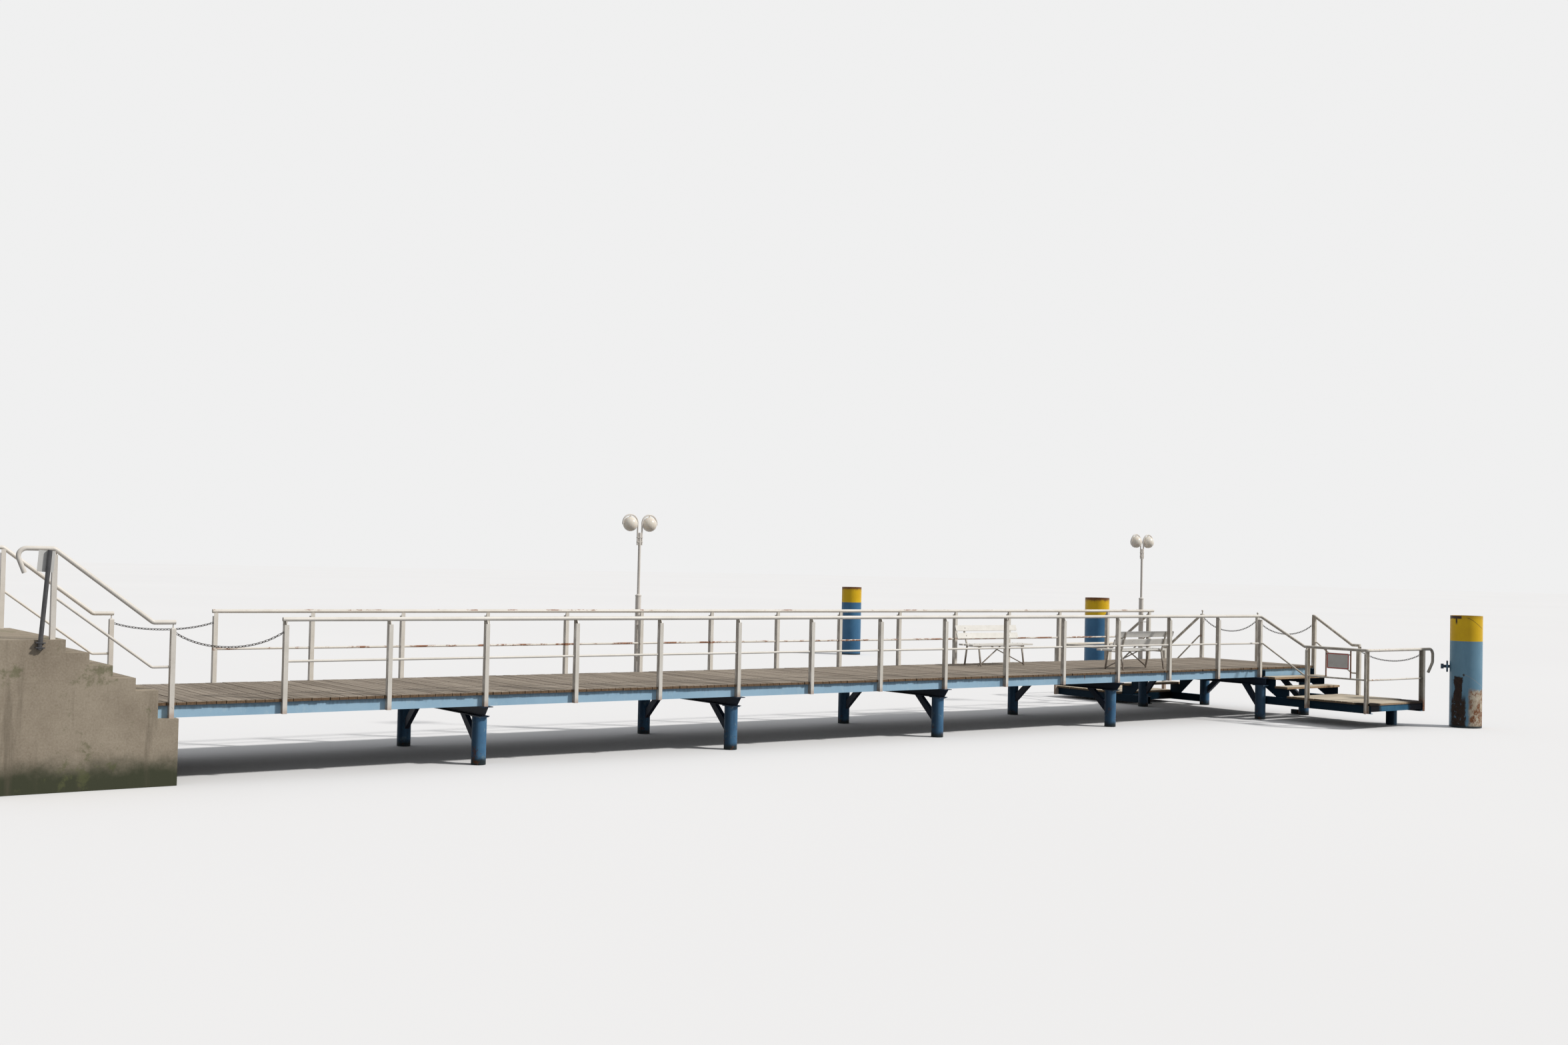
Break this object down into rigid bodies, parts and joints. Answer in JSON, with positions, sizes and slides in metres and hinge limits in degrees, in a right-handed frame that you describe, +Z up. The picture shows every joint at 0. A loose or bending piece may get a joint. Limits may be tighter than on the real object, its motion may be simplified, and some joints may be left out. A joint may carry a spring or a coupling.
{
  "type": "boat jetty",
  "caption": "Long boarded jetty on steel pipe piles with tube railings, lamp posts, benches, a head with a stair and low landing each side, shore steps and mooring dolphins.",
  "frame": {"origin": "middle of the underside of the shore steps, on the centre line of the walkway, at the water line", "axes": "+X along the walkway from the shore to the head, +Y to the side of the far landing, +Z up"},
  "size_m": [30.6225, 24.8273, 3.784],
  "materials": {
    "decking": "weathered, bare",
    "concrete": "cast, stained",
    "railing_paint": "chipped white paint with rust spots",
    "beam_paint": "faded sky-blue paint",
    "pile_paint": "mid-blue paint, darker under the deck",
    "lamp_paint": "satin cream paint",
    "opal_globe": "opal",
    "chain_steel": "dull, weathered",
    "bench_slats": "white paint",
    "bench_frame": "light grey paint",
    "sign_panel": "white panel with a red border",
    "notice_metal": "dark grey post, white board",
    "dolphin_paint": "blue paint with a yellow top band and rust"
  },
  "bodies": {
    "root": {"bench_1_frame": "bench_frame", "bench_1_slats": "bench_slats", "bench_2_frame": "bench_frame", "bench_2_slats": "bench_slats", "deck_head": "decking", "deck_middle": "decking", "deck_outer_end": "decking", "deck_shore_end": "decking", "edge_beams": "beam_paint", "end_beam": "beam_paint", "far_landing_deck": "decking", "far_landing_frame": "beam_paint", "far_landing_front_rail": "railing_paint", "far_landing_side_rails": "railing_paint", "far_stair_stringers": "beam_paint", "far_stair_treads": "decking", "head_chains": "chain_steel", "head_posts": "railing_paint", "inner_joists": "decking", "lamp_1_globes": "opal_globe", "lamp_1_mast": "lamp_paint", "lamp_2_globes": "opal_globe", "lamp_2_mast": "lamp_paint", "landing_chain": "chain_steel", "landing_sign": "sign_panel", "mooring_dolphins": "dolphin_paint", "near_landing_deck": "decking", "near_landing_frame": "beam_paint", "near_landing_front_rail": "railing_paint", "near_landing_side_rails": "railing_paint", "near_stair_stringers": "beam_paint", "near_stair_treads": "decking", "notice_post": "notice_metal", "pile_bent_1": "pile_paint", "pile_bent_2": "pile_paint", "pile_bent_3": "pile_paint", "pile_bent_4": "pile_paint", "pile_bent_5": "pile_paint", "pile_bent_6": "pile_paint", "railing_far": "railing_paint", "railing_near": "railing_paint", "shore_chains": "chain_steel", "shore_handrail_far": "railing_paint", "shore_handrail_near": "railing_paint", "shore_steps": "concrete"}
  },
  "joints": []
}
